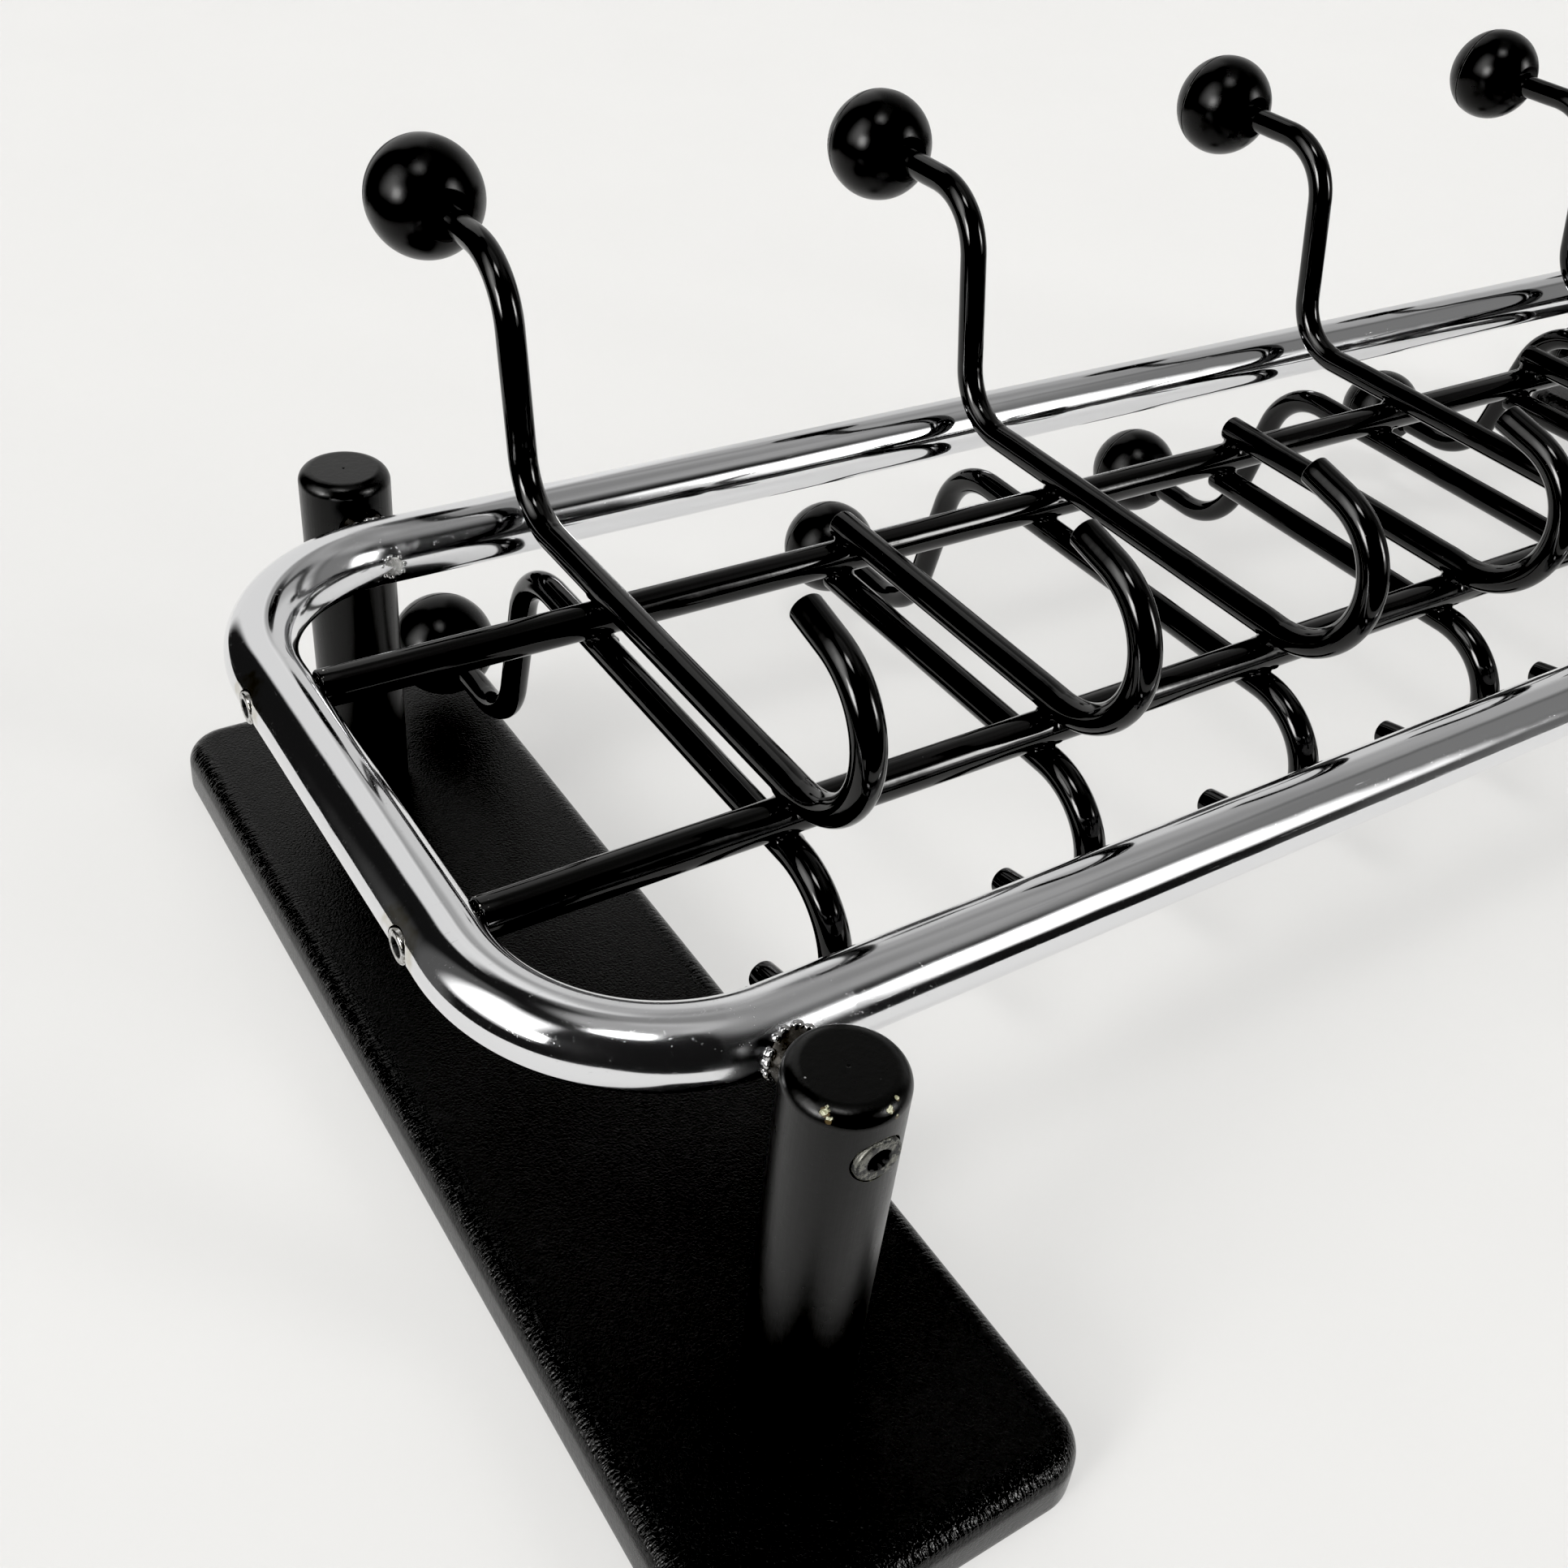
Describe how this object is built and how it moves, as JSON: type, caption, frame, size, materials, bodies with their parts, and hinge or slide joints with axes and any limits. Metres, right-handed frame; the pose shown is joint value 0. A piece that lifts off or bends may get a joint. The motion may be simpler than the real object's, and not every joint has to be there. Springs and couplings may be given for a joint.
{
  "type": "wall hook rack",
  "caption": "Wall coat rack: chromed tube frame on posts and leather-grain boards, with black rails carrying ball-ended and plain bent hooks on both faces.",
  "frame": {"origin": "centre of the overall box on the plane of the boards' backs, which is the wall", "axes": "+X along the rack; +Y towards the balls, which is up on the wall; +Z away from the wall"},
  "size_m": [1.0026, 0.421, 0.2464],
  "materials": {
    "chrome": "bright chrome plating with fine pits and hairline scratches",
    "gloss_black": "gloss black stoved enamel on steel",
    "ball_black": "satin moulded black plastic with a moulding line",
    "post_black": "satin black lacquer on turned wood, chipped to a pale ground at the top edge",
    "leather_grain": "black leather-grain sheet with a low sheen",
    "board_core": "raw fibreboard, seen only from behind",
    "worn_steel": "scuffed bare steel with remains of black paint",
    "zinc_steel": "zinc-plated steel"
  },
  "bodies": {
    "root": {"tube_frame": "chrome", "frame_bosses": "chrome", "rail_screws": "chrome", "post_screws": "worn_steel", "rail_screw_sleeves": "zinc_steel", "post_foot_screws": "zinc_steel", "keyhole_plates": "zinc_steel", "keyhole_plate_screws": "zinc_steel", "rail_ball_side": "gloss_black", "rail_curl_side": "gloss_black", "board_core_left": "board_core", "board_cover_left": "leather_grain", "post_left_ball_side": "post_black", "post_left_curl_side": "post_black", "board_core_right": "board_core", "board_cover_right": "leather_grain", "post_right_ball_side": "post_black", "post_right_curl_side": "post_black", "ball_hook_front_1": "gloss_black", "ball_front_1": "ball_black", "plain_hook_front_1": "gloss_black", "ball_hook_front_2": "gloss_black", "ball_front_2": "ball_black", "plain_hook_front_2": "gloss_black", "ball_hook_front_3": "gloss_black", "ball_front_3": "ball_black", "plain_hook_front_3": "gloss_black", "ball_hook_front_4": "gloss_black", "ball_front_4": "ball_black", "plain_hook_front_4": "gloss_black", "ball_hook_front_5": "gloss_black", "ball_front_5": "ball_black", "ball_hook_back_1": "gloss_black", "ball_back_1": "ball_black", "plain_hook_back_1": "gloss_black", "ball_hook_back_2": "gloss_black", "ball_back_2": "ball_black", "plain_hook_back_2": "gloss_black", "ball_hook_back_3": "gloss_black", "ball_back_3": "ball_black", "plain_hook_back_3": "gloss_black", "ball_hook_back_4": "gloss_black", "ball_back_4": "ball_black", "plain_hook_back_4": "gloss_black", "ball_hook_back_5": "gloss_black", "ball_back_5": "ball_black"}
  },
  "joints": []
}
